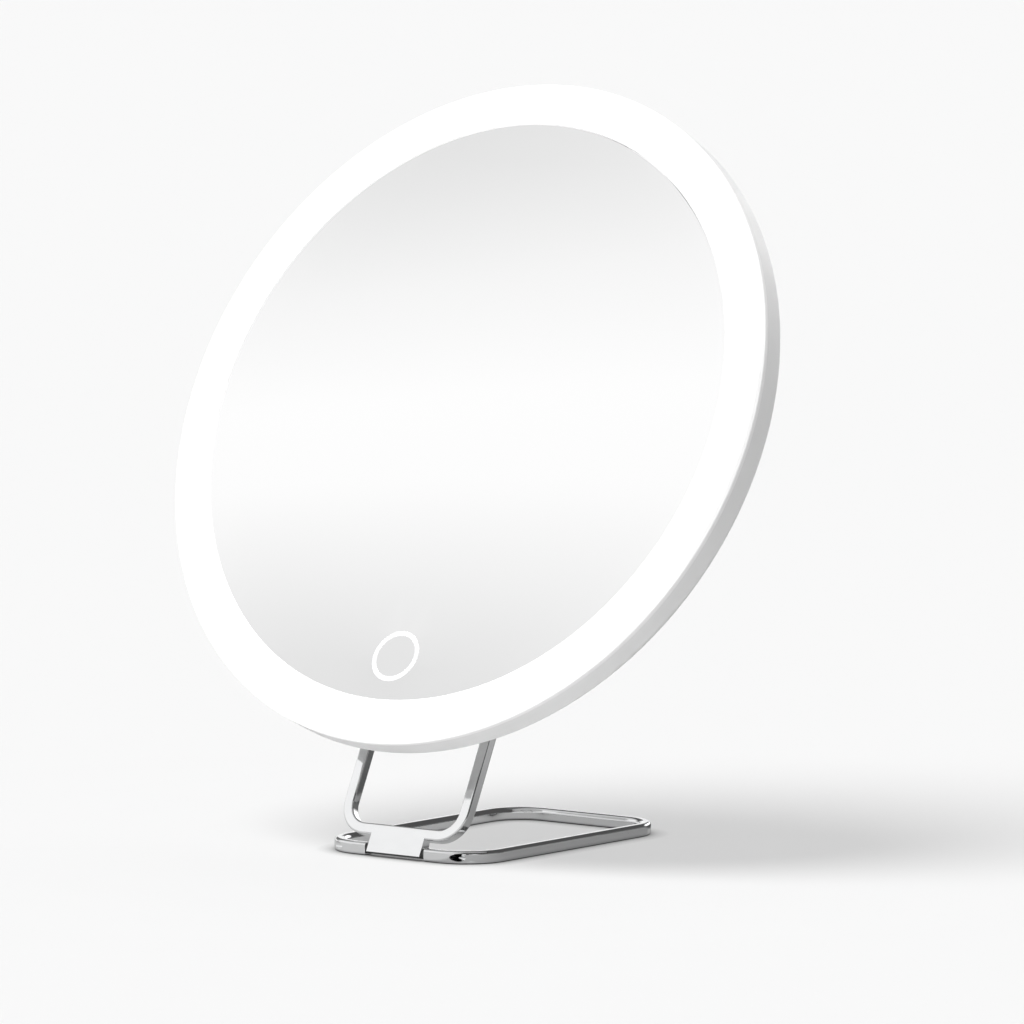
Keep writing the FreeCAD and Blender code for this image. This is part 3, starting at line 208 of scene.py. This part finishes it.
board_tracks, ends, out = new_group("board_tracks", ["Scale"], "Mask")
lanes = add(board_tracks, "TexBrick", Mortar_Size=0.12, Mortar_Smooth=0.2)
lanes.offset = 0.35
join(
    board_tracks,
    (ends.outputs["Vector"], lanes.inputs["Vector"]),
    (ends.outputs["Scale"], lanes.inputs["Scale"]),
    (lanes.outputs["Fac"], out.inputs["Mask"]),
)
print("shared effects:", [group.name for group in bpy.data.node_groups])

# %% [markdown]
# ## Studio: the table
#
# The mirror stands on a wide white table that runs on past the edges of the picture, so the
# table is also the background. An occlusion node paints shade into the table's colour in the
# narrow gap where the base touches down. Polished metal gets its edges from what it reflects, so
# for reflected rays alone the table's colour has painted reflections: grey round the stand,
# darker on the right, and a dark strip far behind.

# %% Table
TABLE_SIZE = 60.0
TABLE_GAP = 0.0001
TABLE_ROUGHNESS = 0.9
TABLE_WHITE = 0.864
TABLE_DARK = 0.12
TOUCH_GAP = 0.005
GREY_SHARE = 0.42
GREY_FRONT = (-0.050, -0.042)
RIGHT_SHARE = 0.66
RIGHT_ACROSS = (-0.026, -0.016)
RIGHT_SIDE = (0.0225, 0.0265)
RIGHT_FRONT = (0.0370, 0.0410)
STRIP_BACK = (0.040, 0.048)
STRIP_EDGE = (0.018, 0.012)

bpy.ops.mesh.primitive_plane_add(size=TABLE_SIZE, location=(0, 0, -TABLE_GAP))
table = bpy.context.object
table.name = "table"
table_finish = bpy.data.materials.new("table_white")
table_finish.use_nodes = True
table.data.materials.append(table_finish)
tree = table_finish.node_tree
shader = tree.nodes["Principled BSDF"]
shader.inputs["Roughness"].default_value = TABLE_ROUGHNESS
shader.inputs["Specular IOR Level"].default_value = 0.0

place = add(tree, "TexCoord").outputs["Object"]
# Painted reflections: for glossy rays alone the table's colour is dimmed round the stand, on the
# right and in a strip far behind.
ahead = along(tree, place, AHEAD)
beside = rise(tree, along(tree, place, ACROSS), RIGHT_SIDE)
right = math_node(tree, "MAXIMUM", beside, rise(tree, ahead, RIGHT_FRONT))
across = rise(tree, along(tree, place, to_right), RIGHT_ACROSS)
right = math_node(tree, "MULTIPLY", right, across)
strip_back = rise(tree, along(tree, place, BEHIND), STRIP_BACK)
strip_edge = rise(tree, along(tree, place, (to_right.x, -to_right.y, 0)), STRIP_EDGE)
strip = math_node(tree, "MULTIPLY", strip_back, strip_edge)
dim_right = math_node(tree, "MULTIPLY", right, RIGHT_SHARE)
dim_round = math_node(tree, "MULTIPLY", rise(tree, ahead, GREY_FRONT), GREY_SHARE)
dim = math_node(tree, "MAXIMUM", dim_right, dim_round)
dim = math_node(tree, "MAXIMUM", dim, strip)
rays = add(tree, "LightPath")
dim = math_node(tree, "MULTIPLY", dim, rays.outputs["Is Glossy Ray"])
tone = add(tree, "MapRange", To_Min=TABLE_WHITE, To_Max=TABLE_DARK)
join(tree, (dim, tone.inputs["Value"]))
# Painted shade: the occlusion value darkens the table's colour near where the base touches down.
painted_contact_shade = add(tree, "AmbientOcclusion", Distance=TOUCH_GAP).outputs["AO"]
shaded = math_node(tree, "MULTIPLY", tone.outputs["Result"], painted_contact_shade)
join(tree, (shaded, shader.inputs["Base Color"]))
print("table", TABLE_SIZE, "m wide")

# %% [markdown]
# ## Studio: the room
#
# The room is a soft white box that is a little brighter on the left. What the camera sees is
# the pale background. What glass and chrome reflect is a tall bright screen at the front left
# that fades to grey above and below, a wall low at the back, bright on the left and dark on
# the right, a dim ceiling, and a lit panel straight behind. The mirror shows the screen as a
# soft band across its middle, the dim ceiling draws dark lines along the chrome's edges, and
# the panel gives the rim its sheen at the upper right.

# %% Room
ROOM_LEFT = 0.25
ROOM_RIGHT = 0.14
BACKGROUND = 0.945
SCREEN_AXIS = (-0.2561, 0.1765, 0.9503)
SCREEN_STOPS = (
    (-1.0, 0.40), (0.00, 0.60), (0.45, 0.78), (0.525, 0.95), (0.58, 1.02),
    (0.62, 1.01), (0.66, 0.91), (0.70, 0.79), (1.0, 0.55),
)
SCREEN_MIDDLE = (-0.61, -0.565, 0.556)
SCREEN_FADE = (0.45, 0.80)
WALL_STOPS = ((-1.0, 0.90), (0.14, 0.98), (0.19, 0.20), (0.40, 0.06), (0.85, 0.08), (1.0, 0.20))
WALL_RIGHT = (0.3, 0.6)
WALL_SHADE = 0.15
WALL_LEAST = 0.08
PANEL_LIGHT = 1.5
PANEL_BACK = (0.86, 0.92)
PANEL_HEIGHT = (0.05, 0.15)
PANEL_SIDE = (0.45, 0.10)
HALF_BOUNCE = 0.5


def grey_ramp(tree, level, stops):
    """Greys by a level from -1 to 1."""
    unit = add(tree, "MapRange", From_Min=-1.0, From_Max=1.0)
    ramp = add(tree, "ValToRGB")
    marks = ramp.color_ramp.elements
    while len(marks) < len(stops):
        marks.new(0.5)
    for mark, (at, bright) in zip(marks, stops):
        mark.position = (at + 1) / 2
        mark.color = grey(bright)
    join(tree, (level, unit.inputs["Value"]), (unit.outputs["Result"], ramp.inputs["Fac"]))
    return ramp.outputs["Color"]


world = bpy.data.worlds.new("room")
bpy.context.scene.world = world
world.use_nodes = True
tree = world.node_tree
tree.nodes.clear()
rays = add(tree, "LightPath")
way = add(tree, "TexCoord").outputs["Generated"]
sideways = along(tree, way, to_right)
upwards = along(tree, way, UP)

shade = add(tree, "MapRange", To_Min=1.0, To_Max=WALL_SHADE)
join(tree, (rise(tree, sideways, WALL_RIGHT), shade.inputs["Value"]))
wall = grey_ramp(tree, upwards, WALL_STOPS)
wall = vector_node(tree, "MULTIPLY", wall, shade.outputs["Result"])
wall = vector_node(tree, "MAXIMUM", wall, (WALL_LEAST, WALL_LEAST, WALL_LEAST))
panel = rise(tree, along(tree, way, BEHIND), PANEL_BACK)
panel = math_node(tree, "MULTIPLY", panel, rise(tree, upwards, PANEL_HEIGHT))
panel = math_node(tree, "MULTIPLY", panel, rise(tree, along(tree, way, ACROSS), PANEL_SIDE))
wall = vector_node(tree, "MAXIMUM", wall, math_node(tree, "MULTIPLY", panel, PANEL_LIGHT))
screen = grey_ramp(tree, along(tree, way, SCREEN_AXIS), SCREEN_STOPS)
at_screen = rise(tree, along(tree, way, SCREEN_MIDDLE), SCREEN_FADE)

sides = add(tree, "MapRange", From_Min=-1.0, From_Max=1.0, To_Min=ROOM_LEFT, To_Max=ROOM_RIGHT)
even = add(tree, "Background", Color=grey(1.0))
pale = add(tree, "Background", Color=grey(BACKGROUND), Strength=1.0)
shown = add(tree, "Background", Strength=1.0)
glossy, clear = rays.outputs["Is Glossy Ray"], rays.outputs["Is Transmission Ray"]
direct = math_node(tree, "LESS_THAN", rays.outputs["Diffuse Depth"], HALF_BOUNCE)
reflected = math_node(tree, "MULTIPLY", math_node(tree, "MAXIMUM", glossy, clear), direct)
first = add(tree, "MixShader")
second = add(tree, "MixShader")
room_out = add(tree, "OutputWorld")
join(
    tree,
    (sideways, sides.inputs["Value"]),
    (sides.outputs["Result"], even.inputs["Strength"]),
    (mix_colour(tree, at_screen, wall, screen), shown.inputs["Color"]),
    (rays.outputs["Is Camera Ray"], first.inputs["Fac"]),
    (even.outputs["Background"], first.inputs[1]),
    (pale.outputs["Background"], first.inputs[2]),
    (reflected, second.inputs["Fac"]),
    (first.outputs["Shader"], second.inputs[1]),
    (shown.outputs["Background"], second.inputs[2]),
    (second.outputs["Shader"], room_out.inputs["Surface"]),
)
print("screen stops:", len(SCREEN_STOPS), "wall stops:", len(WALL_STOPS))

# %% [markdown]
# ## Studio: the lamps
#
# One large soft lamp at the left throws the long pale shadow to the right. A second lamp behind
# the mirror lifts the top of its rim and keeps the shadow pale, so it casts no shadow of its
# own. Neither is seen in the chrome, which has the room to reflect.

# %% Lamps
LAMP_STRENGTH = 1.28
LAMP_HEIGHT = math.radians(59)
LAMP_TURN = math.radians(24)
LAMP_SOFTNESS = math.radians(38)
FILL_STRENGTH = 2.3
FILL_HEIGHT = math.radians(49)
FILL_TURN = math.radians(3)


def add_lamp(name, strength, level_way, height, shadow):
    """A soft sun lamp that shines from a compass direction and a height."""
    bpy.ops.object.light_add(type="SUN")
    lamp = bpy.context.object
    lamp.name = name
    lamp.data.energy = strength
    lamp.data.angle = LAMP_SOFTNESS
    lamp.data.use_shadow = shadow
    lamp.visible_glossy = False
    source = level_way * math.cos(height) + Vector((0, 0, math.sin(height)))
    lamp.rotation_euler = source.to_track_quat("Z", "Y").to_euler()
    print(name, "from", [round(x, 2) for x in source])


to_front = Vector((to_right.y, -to_right.x, 0))
from_left = to_front * math.sin(LAMP_TURN) - to_right * math.cos(LAMP_TURN)
from_back = Vector((math.sin(FILL_TURN), math.cos(FILL_TURN), 0))
add_lamp("key_lamp", LAMP_STRENGTH, from_left, LAMP_HEIGHT, True)
add_lamp("fill_lamp", FILL_STRENGTH, from_back, FILL_HEIGHT, False)

# %% [markdown]
# ## Finishes
#
# Each finish starts from a Principled shader. Values that are the same all over go straight
# on its sockets; only what changes over the surface comes through nodes. Coordinates are the
# object's own, in metres, so a scale of 1000 is a pattern of about one millimetre. The white
# head would wash out its own shadow with the light it throws back, so its two large pale
# pieces are muted for that light. The cover also has painted shade where the chrome in front
# of it reflects it, so its back shows greyer there.

# %% A finish with drifting roughness and a fine relief
HEAD_LEAN = math.radians(25.6)
BOUNCE = 0.22

finishes = {}


def start_finish(name, colour, metallic=0.0):
    """Enter a material under its name, and give its tree, its shader and its coordinates."""
    material = bpy.data.materials.new(name + "_finish")
    material.use_nodes = True
    finishes[name] = material
    tree = material.node_tree
    shader = tree.nodes["Principled BSDF"]
    shader.inputs["Base Color"].default_value = (*colour, 1)
    shader.inputs["Metallic"].default_value = metallic
    return tree, shader, add(tree, "TexCoord").outputs["Object"]


def drift(tree, place, scale, low=0.0, high=1.0):
    return use_group(tree, slow_drift, place, Scale=scale, Low=low, High=high)


def uneven_gloss(tree, shader, place, scale, low, high):
    """Let the roughness wander between two limits."""
    join(tree, (drift(tree, place, scale, low, high), shader.inputs["Roughness"]))


def relief(tree, shader, height, depth):
    """Feed a height to the shader's normal through a bump of that depth in metres."""
    bump = add(tree, "Bump", Strength=1.0, Distance=depth)
    join(tree, (height, bump.inputs["Height"]), (bump.outputs["Normal"], shader.inputs["Normal"]))


def two_tone(tree, shader, mask, low, high):
    """Base colour between two tones of one material, by a mask."""
    blend = mix_colour(tree, mask, (*low, 1), (*high, 1))
    join(tree, (blend, shader.inputs["Base Color"]))


def mute_bounce_and_shade(name, chrome_shade):
    """Make a pale piece grey in the light it throws back, and paint shade on it by a share where
    the chrome reflects it.
    """
    tree = finishes[name].node_tree
    colour = tree.nodes["Principled BSDF"].inputs["Base Color"]
    seen = colour.links[0].from_socket if colour.is_linked else colour.default_value
    rays = add(tree, "LightPath")
    # Painted shade: a share of the grey shows on the piece in glossy rays, as the chrome sees it.
    painted_shade_in_chrome = math_node(tree, "MULTIPLY", rays.outputs["Is Glossy Ray"], chrome_shade)
    muted = math_node(tree, "MAXIMUM", rays.outputs["Is Diffuse Ray"], painted_shade_in_chrome)
    join(tree, (mix_colour(tree, muted, seen, grey(BOUNCE)), colour))


print("finishes are made below")

# %% [markdown]
# ### Chrome, pins and screws
#
# The stand's bars are cast, polished and chrome plated. Plating is never quite flat, so a
# very shallow long wave bends its reflections, and faint hazy patches dull them. The pins and
# screws are bare steel and keep their lathe lines.

# %% Metals
STEEL_PATCHES = 500
STEEL_SPREAD = 0.3
WAVE_DEPTH = 0.00006
LINE_DEPTH = 0.00001


def chrome_finish(name, colour):
    tree, shader, place = start_finish(name, colour, metallic=1.0)
    uneven_gloss(tree, shader, place, scale=220, low=0.03, high=0.10)
    wave = add(tree, "TexNoise", Scale=160.0, Detail=1.0)
    join(tree, (place, wave.inputs["Vector"]))
    relief(tree, shader, wave.outputs["Fac"], WAVE_DEPTH)


def steel_finish(name, colour, rough, line_scale):
    tree, shader, place = start_finish(name, colour, metallic=1.0)
    low, high = rough * (1 - STEEL_SPREAD), rough * (1 + STEEL_SPREAD)
    uneven_gloss(tree, shader, place, STEEL_PATCHES, low, high)
    relief(tree, shader, use_group(tree, turned_lines, place, Scale=line_scale), LINE_DEPTH)


chrome_finish("chrome_plate", (0.885, 0.89, 0.895))
steel_finish("pin_steel", (0.60, 0.60, 0.61), rough=0.28, line_scale=700)
steel_finish("screw_steel", (0.55, 0.55, 0.56), rough=0.32, line_scale=1200)
steel_finish("socket_steel", (0.62, 0.62, 0.63), rough=0.25, line_scale=1500)
print("with metals:", len(finishes))

# %% [markdown]
# ### Plastics
#
# The rear cover is a satin white moulding with a fine grain and slightly uneven gloss. The
# pieces inside use the same recipe in their own tones.

# %% Plastics
GLOSS_PATCHES = 90
GLOSS_SPREAD = 0.06
TONE_PATCHES = 35
COVER_SHADE_IN_CHROME = 0.5


def plastic_finish(name, colour, rough, grain, depth, tone=0.04):
    tree, shader, place = start_finish(name, colour)
    uneven_gloss(tree, shader, place, GLOSS_PATCHES, rough - GLOSS_SPREAD, rough + GLOSS_SPREAD)
    darker = tuple(c * (1 - tone) for c in colour)
    two_tone(tree, shader, drift(tree, place, TONE_PATCHES), darker, colour)
    relief(tree, shader, use_group(tree, moulded_skin, place, Scale=grain), depth)


plastic_finish("cover_white", (0.84, 0.84, 0.84), rough=0.36, grain=2600, depth=0.000012)
plastic_finish("washer_plastic", (0.10, 0.10, 0.10), rough=0.5, grain=3000, depth=0.00002)
plastic_finish("tape_foam", (0.25, 0.25, 0.25), rough=0.9, grain=1500, depth=0.0001, tone=0.3)
plastic_finish("chip_black", (0.05, 0.05, 0.05), rough=0.6, grain=4000, depth=0.00001)
plastic_finish("plug_white", (0.86, 0.84, 0.76), rough=0.45, grain=2500, depth=0.00002)
for name, colour in {"lead_red": (0.55, 0.05, 0.04), "lead_black": (0.06, 0.06, 0.06)}.items():
    plastic_finish(name, colour, rough=0.55, grain=2500, depth=0.00001, tone=0.15)
# Painted shade: the cover's back shows greyer in the chrome in front of it.
mute_bounce_and_shade("cover_white", COVER_SHADE_IN_CHROME)
print("with plastics:", len(finishes))

# %% [markdown]
# ### Light ring and touch ring
#
# An opal ring in front of a circle of small lights glows evenly, a little less at places
# between the lights. The touch ring low on the glass is a window in the silver, lit from
# behind. Both shine just enough to read as white, for the eye and for reflections alone: the
# lamps light everything else. The back of the opal's outer edge lies on the cover's wall, so
# no light comes through there. The white carrier under the glass is no lamp, but it has a
# painted glow, stronger than the ring's, so the fine gap round the glass isn't dark.

# %% Glowing pieces
GLOW = 0.42
CARRIER_PAINTED_GLOW = 0.85
LIT_DEPTH = (0.0008, 0.0013)
OPAL_ROUGHNESS = (0.45, 0.6)
OPAL_GRAIN = 3000
OPAL_DEPTH = 0.000006


def lit_front(tree, place, ring):
    """1 on the front of the head's ring, falling to 0 a little way down its walls."""
    facing = Vector((0, -math.cos(HEAD_LEAN), math.sin(HEAD_LEAN)))
    front = max(vertex.co.dot(facing) for vertex in ring.data.vertices)
    return rise(tree, along(tree, place, facing), (front - LIT_DEPTH[1], front - LIT_DEPTH[0]))


def glow_finish(name, colour, low, scale, strength=GLOW, ring=None):
    """A piece that glows at a strength, in patches that fall to a low share of it."""
    tree, shader, place = start_finish(name, colour)
    rays = add(tree, "LightPath")
    glow = math_node(tree, "SUBTRACT", 1.0, rays.outputs["Is Diffuse Ray"])
    glow = math_node(tree, "MULTIPLY", glow, strength)
    if ring:
        glow = math_node(tree, "MULTIPLY", glow, lit_front(tree, place, ring))
    patches = mix_colour(tree, drift(tree, place, scale), grey(low), grey(1.0))
    join(
        tree,
        (glow, shader.inputs["Emission Strength"]),
        (patches, shader.inputs["Emission Color"]),
    )
    uneven_gloss(tree, shader, place, scale, *OPAL_ROUGHNESS)
    relief(tree, shader, use_group(tree, moulded_skin, place, Scale=OPAL_GRAIN), OPAL_DEPTH)


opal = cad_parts["light_diffuser"]
glow_finish("diffuser_opal", (0.96, 0.96, 0.96), low=0.94, scale=60, ring=opal)
glow_finish("touch_light", (0.97, 0.97, 0.98), low=0.96, scale=300)
# Painted light: the carrier is no lamp; its glow lights the fine gap round the glass.
glow_finish("carrier_white", (0.88, 0.88, 0.87), low=0.94, scale=60, strength=CARRIER_PAINTED_GLOW)
mute_bounce_and_shade("diffuser_opal", 0.0)
print("with glowing pieces:", len(finishes))

# %% [markdown]
# ### Mirror glass
#
# The glass is silvered and slightly dished, which is what magnifies. It is the smoothest
# surface here: only a breath of haze, where it was last wiped, varies its gloss.

# %% Mirror
tree, shader, place = start_finish("mirror_silver", (0.97, 0.97, 0.97), metallic=1.0)
uneven_gloss(tree, shader, place, scale=25, low=0.015, high=0.05)
print("with the mirror:", len(finishes))

# %% [markdown]
# ### Inside the head
#
# Circuit boards, light chips, the light guide and the battery are only seen when the head is
# taken apart, but each still has its own finish: lacquer over copper tracks, spots of yellow
# phosphor on each light, clear acrylic, and a crinkled foil pouch.

# %% Boards, lights, guide and battery
TRACK_SCALE = 220
TRACK_DEPTH = 0.00003
PHOSPHOR = (0.93, 0.86, 0.5)
PALE_PHOSPHOR = (0.93, 0.91, 0.82)
DEEP_PHOSPHOR = (0.93, 0.78, 0.30)
PHOSPHOR_SCALE = 700
ACRYLIC_CLEAR = 0.9
ACRYLIC_BENDING = 1.49
CREASE_SCALE = 120.0
CREASE_DEPTH = 0.0003


def board_finish(name, colour, track):
    tree, shader, place = start_finish(name, colour)
    lie_flat = add(tree, "Mapping", Rotation=(HEAD_LEAN - math.pi / 2, 0, 0))
    join(tree, (place, lie_flat.inputs["Vector"]))
    tracks = use_group(tree, board_tracks, lie_flat.outputs["Vector"], Scale=TRACK_SCALE)
    two_tone(tree, shader, tracks, colour, track)
    relief(tree, shader, tracks, TRACK_DEPTH)
    uneven_gloss(tree, shader, place, scale=120, low=0.3, high=0.42)


board_finish("board_white", (0.90, 0.90, 0.88), track=(0.80, 0.80, 0.77))
board_finish("board_green", (0.06, 0.28, 0.14), track=(0.10, 0.36, 0.18))

tree, shader, place = start_finish("chip_light", PHOSPHOR)
two_tone(tree, shader, drift(tree, place, PHOSPHOR_SCALE), PALE_PHOSPHOR, DEEP_PHOSPHOR)
uneven_gloss(tree, shader, place, scale=900, low=0.2, high=0.35)

tree, shader, place = start_finish("guide_clear", (0.9, 0.92, 0.92))
shader.inputs["Transmission Weight"].default_value = ACRYLIC_CLEAR
shader.inputs["IOR"].default_value = ACRYLIC_BENDING
uneven_gloss(tree, shader, place, scale=200, low=0.05, high=0.15)

tree, shader, place = start_finish("battery_foil", (0.62, 0.63, 0.65), metallic=0.8)
crease = add(tree, "TexVoronoi", Scale=CREASE_SCALE)
crease.feature = "DISTANCE_TO_EDGE"
join(tree, (place, crease.inputs["Vector"]))
relief(tree, shader, crease.outputs["Distance"], CREASE_DEPTH)
uneven_gloss(tree, shader, place, scale=150, low=0.25, high=0.45)
print("with the inside:", len(finishes))

# %% [markdown]
# ## Dress the frame
#
# Every node of the frame came in with a plain material that is named for its finish, so a
# loop can swap each one for the finish of the same name.

# %% Put the finishes on
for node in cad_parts.values():
    for slot in node.material_slots:
        finish = slot.material.name.split(".")[0]
        slot.material = finishes[finish]
print("finishes:", len(finishes))
